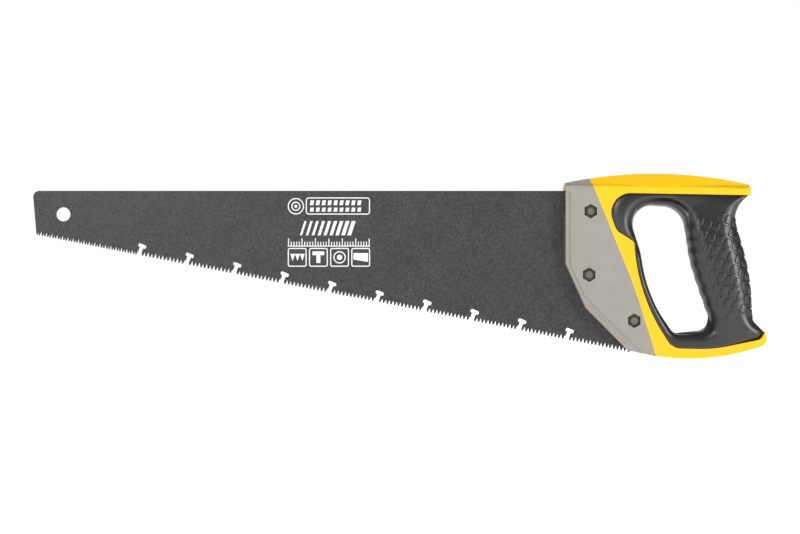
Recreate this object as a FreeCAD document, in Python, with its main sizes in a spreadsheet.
import FreeCAD, Part
import math
import os
import Sketcher

# Panel saw with a bolted closed handle.
# Frame: origin on the axis of the hang hole, at the middle of the blade's thickness.
# +X runs along the blade to the handle, +Z from the teeth to the back, the nuts face -Y.
# The handle's own pieces are drawn in a second frame, at the end of the tooth line, and are
# placed there, so a longer blade carries the whole handle with it.

V = FreeCAD.Vector
doc = FreeCAD.newDocument("HandSaw")
sheet = doc.addObject("Spreadsheet::Sheet", "sizes")

SIZES = [
    # blade
    ("toothed_length", 450.0, "toothed edge, first tooth to last"),
    ("blade_thickness", 1.0, "steel sheet"),
    ("back_height", 17.5, "back of the blade above the hang hole"),
    ("heel_height", 120.1, "blade height where the teeth end"),
    ("toe_depth", 15.2, "first tooth tip below the hang hole"),
    ("toe_reach", 20.0, "first tooth tip ahead of the hang hole"),
    ("toe_lean", 2.9, "the toe's top corner leans forward of the first tooth"),
    ("toe_radius", 4.5, "rounded toe corner"),
    ("hang_hole_diameter", 10.4, "hole to hang the saw by"),
    ("heel_top_reach", 23.4, "heel's top corner, ahead of the end of the teeth"),
    ("heel_tail_reach", 14.6, "heel's bottom corner, behind the end of the teeth"),
    ("heel_tail_rise", 3.1, "plain bottom edge of the heel above the last tip"),
    ("heel_radius", 2.0, "rounded heel corners"),
    # teeth, along the tooth line
    ("coarse_pitch", 2.772, "tooth pitch behind the first raker slot"),
    ("coarse_depth", 3.5, "gullet depth of the coarse teeth"),
    ("coarse_pairs", 67, "pairs of coarse gullets"),
    ("fine_pitch", 2.037, "tooth pitch of the starting teeth at the toe"),
    ("fine_depth", 3.0, "gullet depth of the starting teeth"),
    ("fine_pairs", 19, "pairs of starting gullets"),
    ("tip_width", 0.3, "width of a tooth tip"),
    ("gullet_root", 0.4, "width of a gullet at its root"),
    ("gullet_run", 0.6, "a gullet's cut runs this far past the tips"),
    ("grind_angle", 32, "angle of the ground bevels across the thickness"),
    # raker slots
    ("slot_count", 10, "T-shaped slots that clear the chips"),
    ("slot_pitches", 13, "coarse pitches from slot to slot"),
    ("slot_tilt", 11.0, "the T leans from the tooth line"),
    ("slot_height", 8.5, "from the tips to the top of the T"),
    ("slot_head", 6.3, "width of the T's bar"),
    ("slot_bar", 2.6, "height of the T's bar"),
    ("slot_stem", 2.8, "width of the T's stem"),
    ("slot_run", 3.0, "the T's cut runs this far past the tips"),
    ("slot_head_round", 1.1, "rounded ends of the T's bar"),
    ("slot_neck_round", 0.3, "rounding between the T's stem and bar"),
    # handle, across the saw
    ("plate_face", 9.6, "blade plane to a cheek plate's outer face"),
    ("tongue_half", 3.5, "half the thickness of the core's tongue"),
    ("slot_clearance", 0.05, "gap between blade and tongue on each side"),
    ("edge_clearance", 0.4, "gap round the blade's heel in the tongue"),
    ("top_margin", 0.6, "handle's top line above the blade's back"),
    ("nose_reach", 48.3, "core's nose ahead of the end of the teeth"),
    ("lip_start", 17.1, "the lip starts this far below the top line"),
    ("border_depth", 0.4, "how far the border is lowered"),
    ("rubber_face", 9.9, "blade plane to the rubber's flat face"),
    ("rubber_drop", 2.7, "rubber's top edge below the top line, at the end of the teeth"),
    ("rubber_fall", 0.0175, "fall of the rubber's top edge for each mm towards the back"),
    ("rubber_back", 86.8, "back corner of the rubber's top edge"),
    ("rubber_wall", 3.0, "rubber over the core round the hand hole"),
    ("spine_half", 7.0, "half the thickness of the core's spine in the grip"),
    ("back_edge", 88.4, "back edge of the core's top, behind the end of the teeth"),
    # screws
    ("bolt_diameter", 5.0, "M5"),
    ("bolt_proud", 0.5, "end of the bolt past the nut"),
    ("head_diameter", 9.5, "button head"),
    ("head_height", 2.75, "button head"),
    ("head_crown", 5.2, "flat on top of the button head"),
    ("head_crown_round", 1.2, "rounding of the button head's crown"),
    ("head_rim", 0.6, "straight rim of the button head"),
    ("head_rim_round", 0.5, "rounding of the button head's rim"),
    ("key_flats", 3.0, "hexagon socket"),
    ("key_depth", 1.6, "hexagon socket"),
    ("nut_flats", 8.0, "M5 hexagon nut"),
    ("nut_height", 4.0, "M5 hexagon nut"),
    ("nut_chamfer", 0.5, "drop of the nut's chamfer at its corners"),
    ("thread_clearance", 0.05, "between bolt and nut"),
    ("hole_clearance", 0.2, "round the bolt in plates, tongue and blade"),
    ("pocket_clearance", 0.6, "round the nut in its pocket"),
    ("head_clearance", 0.3, "round the head in its counterbore"),
    ("nut_recess", 0.6, "top of the nut below the plate's face"),
    ("head_recess", 0.35, "top of the head below the plate's face"),
]

# Worked out from the sizes above, as formulas in the sheet.
FORMULAS = [
    ("heel_depth", "heel_height - back_height"),
    ("tooth_angle", "asin((heel_depth - toe_depth) / toothed_length)"),
    ("heel_x", "toothed_length * cos(tooth_angle) - toe_reach"),
    ("fine_length", "fine_pairs * 2 * fine_pitch"),
    ("first_slot_x", "fine_length * cos(tooth_angle) - toe_reach"),
    ("first_slot_z", "-toe_depth - fine_length * sin(tooth_angle)"),
    ("grind_x", "sin(grind_angle * 1 deg)"),
    ("grind_y", "cos(grind_angle * 1 deg)"),
    ("nut_pocket_flats", "nut_flats + 2 * pocket_clearance"),
    ("head_floor", "plate_face - head_recess - head_height"),
    ("bolt_length", "head_floor + plate_face - nut_recess + bolt_proud"),
    ("nut_corner", "nut_flats / sqrt(3)"),
    ("bolt_hole", "bolt_diameter + 2 * hole_clearance"),
    ("top_line", "heel_height + top_margin"),
    ("slot_top", "heel_height + edge_clearance"),
    ("rubber_top", "top_line - rubber_drop"),
    ("collar_corner", "rubber_top - rubber_fall * back_edge"),
]

# Screw axes in the handle's frame: name, x, z.
SCREWS = [("top", -30.1, "top_line - 16.1"), ("middle", -31.3, 57.7), ("bottom", 2.0, 23.7)]

# Outlines in the handle's frame: x, z and corner radius of each corner, in order.
# The plate's straight edges are square to the blade's back and at 45 degrees to it.
# The tongue's first corner lies on the seam.
PLATE_EDGE = [(-48.4, 66.1, 5), (-33.6, 33.2, 8), (-2.0, 1.6, 2)]
SEAM = [(18.2, -2.6, 0), (2.3, 48.5, 400), (-34.0, "top_line + 17", 0)]
TONGUE_EDGE = [(16.77, 2.0, 0), (0.3, 5.0, 2), (-30.2, 35.5, 6), (-44.4, 66.9, 4)]
RUBBER_EDGE = [
    (-21.3, "rubber_top + rubber_fall * 21.3", 14.5), (-11.1, "top_line - 30.4", 9),
    (1.9, "top_line - 38.7", 5), (5.2, 42.4, 140), (30.0, 3.4, 12), (60, 2.6, 100),
    (95.4, 9.8, 5), (98.9, 15.5, 0)]
CORE_TAIL = [(100.5, 6.5, 5), (62.7, -6.9, 160)]
OUTLINES = {
    "arch": [(-56, "top_line + 3.46", 0), (18.6, "top_line + 20", 318), (95, "top_line + 2.3", 0),
             (95, "top_line + 30", 0), (-56, "top_line + 30", 0)],
    "roof": [(-56, "top_line + 3.7", 0), (18.6, "top_line + 2.4", 600), (95, "top_line + 0.8", 0),
             (95, "top_line + 30", 0), (-56, "top_line + 30", 0)],
    "plate": [(-48.4, "top_line + 17", 0)] + PLATE_EDGE + SEAM,
    "collar": SEAM + [
        ("back_edge", "top_line + 17", 0), ("back_edge", "collar_corner", 0),
    ] + RUBBER_EDGE + CORE_TAIL,
    "tongue": [
        ("-nose_reach", "top_line + 17", 0), ("back_edge", "top_line + 17", 0),
        ("back_edge", "collar_corner", 0), (74.1, "collar_corner", 3),
        (72.6, "top_line - 20", 15), (84.0, 48, 80), (85.5, 24, 8), (92, 15.5, 4),
        (98.9, 15.5, 0)] + CORE_TAIL + [(18.2, -2.6, 0)] + TONGUE_EDGE + [
        (-44.4, "slot_top", 0), ("-nose_reach", "slot_top", 0)],
    "spine": [
        (48.5, "top_line - 15", 4), (70.5, "top_line - 15", 4), (70.5, "top_line - 27", 15),
        (81.0, 50, 60), (83.0, 22, 5), (67.0, 22, 5), (52.5, 64, 60)],
    "rubber": [("rubber_back", "rubber_top - rubber_fall * rubber_back", 0)] + RUBBER_EDGE + [
        (90.0, 24.5, 9), (90.0, "top_line - 61.2", 175), (74.3, "top_line - 16.5", 20)],
    "hand_hole": [
        (-3.8, "top_line - 10.1", 14), (38.7, "top_line - 13.3", 17), (44.7, 66.0, 120),
        (61.2, 17.2, 9), (31.8, 14.1, 6), (12.5, 42.5, 100), (6.9, "top_line - 42.9", 40)],
    "lip": [(-48.4, "top_line - lip_start", 0)] + PLATE_EDGE + [(18.2, -2.6, 0)] + TONGUE_EDGE + [
        (-44.4, "top_line - lip_start", 0)],
    "border": [
        (-60, "top_line - 1.5", 0), (-46.6, "top_line - 1.5", 0), (-45.1, "top_line - 3.3", 0),
        (-45.1, 66.0, 4), (-34.6, 42.4, 3), (8.3, -0.5, 0), (8.3, -12, 0), (-60, -12, 0)],
    "heel_slot": [
        (-60, "slot_top", 0), (-22.8, "slot_top", 1),
        (15.6, 2.0, 0), (15.6, -12, 0), (-60, -12, 0)],
}

# Grip sections from top to bottom: z, front x, back x, half thickness.
GRIP = [
    ("top_line - 3.1", 44.0, 86.6, 10.4), ("top_line - 12", 43.0, 79.6, 13.0),
    ("top_line - 24", 43.2, 77.0, 15.0), ("top_line - 40", 45.0, 82.3, 15.0),
    (60, 48.5, 87.0, 15.0), (40, 55.0, 89.2, 15.0), (25, 60.0, 89.6, 13.4), (14, 61.0, 92.0, 10.6)]


def fill_sheet():
    """One row a size, with the name as the alias; outline and grip rows get numbered aliases."""
    row = 0

    def put(alias, value, note):
        nonlocal row
        row += 1
        text = "=" + value if isinstance(value, str) else str(value)
        sheet.set(f"A{row}", alias)
        sheet.set(f"B{row}", text)
        sheet.setAlias(f"B{row}", alias)
        sheet.set(f"C{row}", note)

    for alias, value, note in SIZES:
        put(alias, value, note)
    for alias, formula in FORMULAS:
        put(alias, formula, "worked out")
    for name, x, z in SCREWS:
        put(f"{name}_screw_x", x, "screw axis")
        put(f"{name}_screw_z", z, "screw axis")
    for name, corners in OUTLINES.items():
        for i, corner in enumerate(corners):
            for axis, value in zip("xzr", corner):
                put(f"{name}_{axis}_{i}", value, "outline corner")
    for i, section in enumerate(GRIP):
        for label, value in zip(("level", "front", "back", "half"), section):
            put(f"grip_{label}_{i}", value, "grip section")
    doc.recompute()


def size(alias):
    """A sheet value as a plain number."""
    value = sheet.get(alias)
    return value.Value if hasattr(value, "Value") else float(value)


def bind(thing, prop, formula):
    """Bind a property to a formula of sheet aliases, each written {alias}."""
    thing.setExpression(prop, formula.replace("{", "sizes.").replace("}", ""))


def new_body(label, in_handle=True):
    body = doc.addObject("PartDesign::Body", label)
    body.Label = label
    if in_handle:
        bind(body, "Placement.Base.x", "{heel_x}")
        bind(body, "Placement.Base.z", "-{heel_depth}")
    return body


def new_sketch(body, name, role="XZ_Plane"):
    """A sketch on one of the body's origin planes. On XZ_Plane its normal is -Y."""
    plane = [o for o in body.Origin.OriginFeatures if o.Role == role][0]
    sketch = body.newObject("Sketcher::SketchObject", f"{body.Name}_{name}")
    sketch.AttachmentSupport = (plane, [""])
    sketch.MapMode = "FlatFace"
    return sketch


def constrain(sketch, kind, *args):
    return sketch.addConstraint(Sketcher.Constraint(kind, *args))


def lock(sketch, geometry, point, x, z, x_formula, z_formula):
    """Hold a point at sheet formulas, measured from the sketch's origin."""
    across = constrain(sketch, "DistanceX", -1, 1, geometry, point, x)
    up = constrain(sketch, "DistanceY", -1, 1, geometry, point, z)
    bind(sketch, f"Constraints[{across}]", x_formula)
    bind(sketch, f"Constraints[{up}]", z_formula)


def draw(sketch, corners):
    """Closed outline of straight runs and rounded corners.

    corners: x, z and radius formulas of each corner, written with {alias}. A radius of "0"
    leaves the corner sharp.
    """
    def number(formula):
        value = sheet.evalExpression(formula.replace("{", "").replace("}", ""))
        return value.Value if hasattr(value, "Value") else float(value)

    points = [V(number(x), number(z), 0) for x, z, r in corners]
    radii = [number(r) for x, z, r in corners]
    count = len(points)
    starts, ends, arcs = [], [], []
    for i, point in enumerate(points):
        back = (points[i - 1] - point).normalize()
        ahead = (points[(i + 1) % count] - point).normalize()
        half = back.getAngle(ahead) / 2
        trim = radii[i] / math.tan(half)
        ends.append(point + back * trim)
        starts.append(point + ahead * trim)
        middle = (back + ahead)
        centre = point + middle.normalize() * (radii[i] / math.sin(half)) if radii[i] else None
        arcs.append(centre)
    lines = [sketch.addGeometry(Part.LineSegment(starts[i], ends[(i + 1) % count]))
             for i in range(count)]
    for i in range(count):
        before, after = lines[i - 1], lines[i]
        x, z, r = corners[i]
        if not radii[i]:
            constrain(sketch, "Coincident", before, 2, after, 1)
            lock(sketch, after, 1, points[i].x, points[i].y, x, z)
            continue
        centre = arcs[i]
        top = centre + (points[i] - centre).normalize() * radii[i]
        arc = sketch.addGeometry(Part.Arc(ends[i], top, starts[i]))
        first = 1 if (sketch.getPoint(arc, 1) - ends[i]).Length < 1e-6 else 2
        constrain(sketch, "Tangent", before, 2, arc, first)
        constrain(sketch, "Tangent", after, 1, arc, 3 - first)
        held = constrain(sketch, "Radius", arc, radii[i])
        bind(sketch, f"Constraints[{held}]", r)
        corner = sketch.addGeometry(Part.Point(points[i]), True)
        lock(sketch, corner, 1, points[i].x, points[i].y, x, z)
        constrain(sketch, "PointOnObject", corner, 1, before)
        constrain(sketch, "PointOnObject", corner, 1, after)
    return sketch


def outline(name):
    """The corners of a named outline as formulas."""
    count = len(OUTLINES[name])
    return [tuple(f"{{{name}_{axis}_{i}}}" for axis in "xzr") for i in range(count)]


def circle(sketch, x, z, diameter):
    """A circle whose centre and diameter are formulas."""
    ring = sketch.addGeometry(Part.Circle(V(0, 0, 0), V(0, 0, 1), 1))
    held = constrain(sketch, "Diameter", ring, 2)
    bind(sketch, f"Constraints[{held}]", diameter)
    lock(sketch, ring, 3, 0.1, 0.1, x, z)
    return sketch


def hexagon(sketch, x, z, flats):
    """A hexagon with a corner up; x, z and the width across flats are formulas."""
    corners = []
    for i in range(6):
        angle = 60 * i + 30
        reach = f"({flats}) / sqrt(3)"
        corners.append((f"{x} + {reach} * cos({angle} deg)",
                        f"{z} + {reach} * sin({angle} deg)", "0"))
    return draw(sketch, corners)


def feature(body, kind, name, sketch, length=None, side="One side", reverse=False):
    """A sketch-based PartDesign feature, extruded by a formula or through everything."""
    item = body.newObject(f"PartDesign::{kind}", f"{body.Name}_{name}")
    item.Profile = sketch
    item.SideType = side
    item.Reversed = reverse
    if length is None:
        item.Type = "ThroughAll"
    else:
        bind(item, "Length", length)
    return item


def lift(sketch, formula):
    """Shift a sketch along its own normal; on XZ_Plane a positive shift is towards -Y."""
    bind(sketch, "AttachmentOffset.Base.z", formula)
    return sketch


def pattern(body, name, originals, sketch, count, spacing):
    """Repeat features along a sketch's own x axis."""
    row = body.newObject("PartDesign::LinearPattern", f"{body.Name}_{name}")
    row.Originals = originals
    row.Direction = (sketch, ["H_Axis"])
    row.Mode = "Spacing"
    bind(row, "Occurrences", count)
    bind(row, "Offset", spacing)
    body.Tip = row
    return row


def on_tooth_line(sketch, extra_turn="0"):
    """Put a sketch's origin on the first slot and its x axis along the tooth line."""
    bind(sketch, "AttachmentOffset.Base.x", "{first_slot_x}")
    bind(sketch, "AttachmentOffset.Base.y", "{first_slot_z}")
    bind(sketch, "AttachmentOffset.Rotation.Yaw", f"-({{tooth_angle}} + {extra_turn} * 1 deg)")
    return sketch


def gullet(body, name, place, pitch, depth, slant):
    """One V between two teeth, ground across the thickness at an angle."""
    sketch = on_tooth_line(new_sketch(body, name))
    below = "{gullet_run}"
    half_tip = f"(({pitch} - {{tip_width}}) / 2)"
    half_root = "({gullet_root} / 2)"
    flare = f"({half_tip} + {below} * ({half_tip} - {half_root}) / {depth})"
    draw(sketch, [(f"{place} - {flare}", f"-{below}", "0"), (f"{place} + {flare}", f"-{below}", "0"),
                  (f"{place} + {half_root}", depth, "0"), (f"{place} - {half_root}", depth, "0")])
    cut = feature(body, "Pocket", f"{name}_cut", sketch, "4 * {blade_thickness}", "Symmetric")
    cut.UseCustomVector = True
    across = slant * size("grind_x")
    turn = math.radians(size("tooth_angle"))
    cut.Direction = V(across * math.cos(turn), -size("grind_y"), -across * math.sin(turn))
    return cut, sketch


def teeth(body, name, pitch, depth, pairs, side):
    """Pairs of gullets, ground in alternate directions, away from the first slot."""
    near, sketch = gullet(body, f"{name}_a", f"{side} * {pitch} / 2", pitch, depth, 1)
    far, _ = gullet(body, f"{name}_b", f"{side} * {pitch} * 3 / 2", pitch, depth, -1)
    row = pattern(body, f"{name}_row", [near, far], sketch, pairs, f"2 * {pitch}")
    row.Reversed = side < 0


def raker_slots(body):
    """T-shaped slots along the tooth line."""
    sketch = on_tooth_line(new_sketch(body, "slot"), "{slot_tilt}")
    stem, head = "{slot_stem} / 2", "{slot_head} / 2"
    shoulder, top = "{slot_height} - {slot_bar}", "{slot_height}"
    below, end, neck = "-{slot_run}", "{slot_head_round}", "{slot_neck_round}"
    draw(sketch, [(f"-{stem}", below, "0"), (stem, below, "0"), (stem, shoulder, neck),
                  (head, shoulder, end), (head, top, end), (f"-{head}", top, end),
                  (f"-{head}", shoulder, end), (f"-{stem}", shoulder, neck)])
    cut = feature(body, "Pocket", "slot_cut", sketch, None, "Symmetric")
    row_line = on_tooth_line(new_sketch(body, "slot_line"))
    row_line.addGeometry(Part.LineSegment(V(0, 0, 0), V(10, 0, 0)), True)
    pattern(body, "slots", [cut], row_line, "{slot_count}", "{slot_pitches} * {coarse_pitch}")


def screw_axes():
    return [(name, f"{{{name}_screw_x}}", f"{{{name}_screw_z}}") for name, _, _ in SCREWS]


def make_blade():
    body = new_body("blade", in_handle=False)
    sheet_outline = new_sketch(body, "outline")
    draw(sheet_outline, [
        ("-{toe_reach} - {toe_lean}", "{back_height}", "{toe_radius}"),
        ("{heel_x} - {heel_top_reach}", "{back_height}", "{heel_radius}"),
        ("{heel_x} + {heel_tail_reach}", "-{heel_depth} + {heel_tail_rise}", "{heel_radius}"),
        ("{heel_x}", "-{heel_depth} + {heel_tail_rise}", "0"),
        ("{heel_x}", "-{heel_depth}", "0"),
        ("-{toe_reach}", "-{toe_depth}", "0")])
    feature(body, "Pad", "sheet", sheet_outline, "{blade_thickness}", "Symmetric")
    holes = new_sketch(body, "holes")
    circle(holes, "0", "0", "{hang_hole_diameter}")
    for _, x, z in screw_axes():
        circle(holes, f"{{heel_x}} + {x}", f"{z} - {{heel_depth}}", "{bolt_hole}")
    feature(body, "Pocket", "holes_cut", holes, None, "Symmetric")
    teeth(body, "coarse", "{coarse_pitch}", "{coarse_depth}", "{coarse_pairs}", 1)
    teeth(body, "fine", "{fine_pitch}", "{fine_depth}", "{fine_pairs}", -1)
    raker_slots(body)
    return body


def cut_roof(body, side):
    """Slope one flank's top from the arch at the tongue down to the outer face."""
    reach = 1 if side == "front" else -1
    inner = lift(new_sketch(body, f"arch_{side}"), f"{reach} * {{tongue_half}}")
    outer = lift(new_sketch(body, f"roof_{side}"), f"{reach} * {{plate_face}}")
    slope = body.newObject("PartDesign::SubtractiveLoft", f"{body.Name}_slope_{side}")
    slope.Profile = draw(inner, outline("arch"))
    slope.Sections = [draw(outer, outline("roof"))]
    slope.Ruled = True


def make_plate(label, side):
    """A cast cheek plate: side is front for the nuts and rear for the bolt heads."""
    body = new_body(label)
    reach = 1 if side == "front" else -1
    back = side == "rear"
    face = lift(new_sketch(body, "face"), f"{reach} * {{tongue_half}}")
    draw(face, outline("plate"))
    feature(body, "Pad", "slab", face, "{plate_face} - {tongue_half}", reverse=back)
    cut_roof(body, side)
    lip = lift(new_sketch(body, "lip"), f"{reach} * {{blade_thickness}} / 2")
    draw(lip, outline("lip"))
    feature(body, "Pad", "lip_pad", lip, "{tongue_half} - {blade_thickness} / 2", reverse=back)
    border = lift(new_sketch(body, "border"), f"{reach} * {{plate_face}}")
    draw(border, outline("border"))
    feature(body, "Pocket", "border_cut", border, "{border_depth}", reverse=back)
    holes = lift(new_sketch(body, "holes"), f"{reach} * {{plate_face}}")
    for _, x, z in screw_axes():
        circle(holes, x, z, "{bolt_hole}")
    feature(body, "Pocket", "holes_cut", holes, "2 * {plate_face}", reverse=back)
    pockets = lift(new_sketch(body, "pockets"), f"{reach} * {{plate_face}}")
    for _, x, z in screw_axes():
        if back:
            circle(pockets, x, z, "{head_diameter} + 2 * {head_clearance}")
        else:
            hexagon(pockets, x, z, "{nut_pocket_flats}")
    depth = "{plate_face} - {head_floor}" if back else "{nut_recess} + {nut_height}"
    feature(body, "Pocket", "pockets_cut", pockets, depth, reverse=back)
    return body


def grip_section(body, index):
    """An ellipse across the grip, its width along X and its thickness along Y."""
    sketch = new_sketch(body, f"section_{index}", "XY_Plane")
    bind(sketch, "AttachmentOffset.Base.z", f"{{grip_level_{index}}}")
    front, back = size(f"grip_front_{index}"), size(f"grip_back_{index}")
    centre = V((front + back) / 2, 0, 0)
    side = V(centre.x, size(f"grip_half_{index}"), 0)
    sketch.addGeometry(Part.Ellipse(V(back, 0, 0), side, centre))
    return sketch


def grip_loft(body):
    """Loft the grip through its sections."""
    sections = [grip_section(body, i) for i in range(len(GRIP))]
    loft = body.newObject("PartDesign::AdditiveLoft", f"{body.Name}_limb")
    loft.Profile = sections[0]
    loft.Sections = sections[1:]


def make_core():
    """Rigid core: collar round the rubber, tongue between the plates and spine in the grip."""
    body = new_body("core_form")
    collar = draw(new_sketch(body, "collar"), outline("collar"))
    feature(body, "Pad", "collar_pad", collar, "2 * {plate_face}", "Symmetric")
    tongue = draw(new_sketch(body, "tongue"), outline("tongue"))
    feature(body, "Pad", "tongue_pad", tongue, "2 * {tongue_half}", "Symmetric")
    spine = draw(new_sketch(body, "spine"), outline("spine"))
    feature(body, "Pad", "spine_pad", spine, "2 * {spine_half}", "Symmetric")
    arch = draw(new_sketch(body, "arch"), outline("arch"))
    feature(body, "Pocket", "arch_cut", arch, None, "Symmetric")
    cut_roof(body, "front")
    cut_roof(body, "rear")
    slot = draw(new_sketch(body, "slot"), outline("heel_slot"))
    width = "{blade_thickness} + 2 * {slot_clearance}"
    feature(body, "Pocket", "slot_cut", slot, width, "Symmetric")
    holes = new_sketch(body, "holes")
    for _, x, z in screw_axes():
        circle(holes, x, z, "{bolt_hole}")
    feature(body, "Pocket", "holes_cut", holes, None, "Symmetric")
    return body


def hole_prism(name, wall):
    """The hand hole through the whole handle, grown by a wall."""
    hole = doc.addObject("Sketcher::SketchObject", f"{name}_outline")
    bind(hole, "Placement.Base.x", "{heel_x}")
    bind(hole, "Placement.Base.z", "-{heel_depth}")
    hole.Placement = FreeCAD.Placement(V(0, 0, 0), FreeCAD.Rotation(V(1, 0, 0), 90))
    draw(hole, outline("hand_hole"))
    grown = doc.addObject("Part::Offset2D", f"{name}_grown")
    grown.Source = hole
    bind(grown, "Value", wall)
    prism = doc.addObject("Part::Extrusion", name)
    prism.Base = grown
    prism.Dir = V(0, 1, 0)
    prism.Solid = True
    prism.Symmetric = True
    bind(prism, "LengthFwd", "6 * {plate_face}")
    return prism


def cut_away(label, base, tool):
    cut = doc.addObject("Part::Cut", label)
    cut.Label = label
    cut.Base = base
    cut.Tool = tool
    return cut


def make_rubber(core):
    body = new_body("rubber_form")
    ring = draw(new_sketch(body, "ring"), outline("rubber"))
    feature(body, "Pad", "ring_pad", ring, "2 * {rubber_face}", "Symmetric")
    grip_loft(body)
    hole = draw(new_sketch(body, "hole"), outline("hand_hole"))
    feature(body, "Pocket", "hole_cut", hole, None, "Symmetric")
    return cut_away("soft_grip", body, core)


def at_screw(body, x, z):
    bind(body, "Placement.Base.x", f"{{heel_x}} + {x}")
    bind(body, "Placement.Base.z", f"{z} - {{heel_depth}}")


def make_bolt(label, x, z):
    """Button-head screw along Y, its head towards +Y."""
    body = new_body(label, in_handle=False)
    at_screw(body, x, z)
    shank = lift(circle(new_sketch(body, "shank"), "0", "0", "{bolt_diameter}"), "-{head_floor}")
    feature(body, "Pad", "shank_pad", shank, "{bolt_length}")
    profile = new_sketch(body, "head", "XY_Plane")
    draw(profile, [("0", "{head_floor}", "0"), ("{head_diameter} / 2", "{head_floor}", "0"),
                   ("{head_diameter} / 2", "{head_floor} + {head_rim}", "{head_rim_round}"),
                   ("{head_crown} / 2", "{head_floor} + {head_height}", "{head_crown_round}"),
                   ("0", "{head_floor} + {head_height}", "0")])
    head = body.newObject("PartDesign::Revolution", f"{label}_head")
    head.Profile = profile
    head.ReferenceAxis = (profile, ["V_Axis"])
    head.Angle = 360
    key = lift(new_sketch(body, "key"), "-({head_floor} + {head_height})")
    hexagon(key, "0", "0", "{key_flats}")
    feature(body, "Pocket", "key_cut", key, "{key_depth}", reverse=True)
    return body


def make_nut(label, x, z):
    """Hexagon nut along Y in the front plate's pocket."""
    body = new_body(label, in_handle=False)
    at_screw(body, x, z)
    top = "({plate_face} - {nut_recess})"
    block = hexagon(lift(new_sketch(body, "block"), f"{top} - {{nut_height}}"), "0", "0", "{nut_flats}")
    feature(body, "Pad", "block_pad", block, "{nut_height}")
    bore = lift(new_sketch(body, "bore"), top)
    circle(bore, "0", "0", "{bolt_diameter} + 2 * {thread_clearance}")
    feature(body, "Pocket", "bore_cut", bore, "2 * {nut_height}")
    corner = new_sketch(body, "corner", "XY_Plane")
    inner, outer = "{nut_flats} / 2", "2 * {nut_corner} - {nut_flats} / 2"
    draw(corner, [(inner, f"-{top}", "0"), (outer, f"-{top}", "0"),
                  (outer, f"-{top} + 2 * {{nut_chamfer}}", "0")])
    groove = body.newObject("PartDesign::Groove", f"{label}_chamfer")
    groove.Profile = corner
    groove.ReferenceAxis = (corner, ["V_Axis"])
    groove.Angle = 360
    return body


def check(items):
    """Stop if any object failed or a sub-part isn't one valid solid."""
    for item in doc.Objects:
        if "Invalid" in item.State or "Error" in item.State:
            raise SystemExit(f"{item.Name} failed: {item.State}")
    for item in items:
        shape = item.Shape
        if shape.isNull() or not shape.isValid() or len(shape.Solids) != 1:
            raise SystemExit(f"{item.Label} isn't one valid solid: {len(shape.Solids)}")
        box = shape.BoundBox
        print(f"{item.Label}: {shape.Volume:.1f} mm3, x {box.XMin:.1f} {box.XMax:.1f}, "
              f"y {box.YMin:.1f} {box.YMax:.1f}, z {box.ZMin:.1f} {box.ZMax:.1f}")


def main():
    fill_sheet()
    core_form = make_core()
    core = cut_away("handle_core", core_form, hole_prism("core_hole", "{rubber_wall}"))
    pieces = [make_blade(), core, make_rubber(core),
              make_plate("front_cheek_plate", "front"), make_plate("rear_cheek_plate", "rear")]
    for name, x, z in screw_axes():
        pieces.append(make_bolt(f"bolt_{name}", x, z))
        pieces.append(make_nut(f"nut_{name}", x, z))
    doc.recompute()
    check(pieces)
    os.makedirs("parts", exist_ok=True)
    for piece in pieces:
        piece.Shape.exportStep(f"parts/{piece.Label}.step")


main()
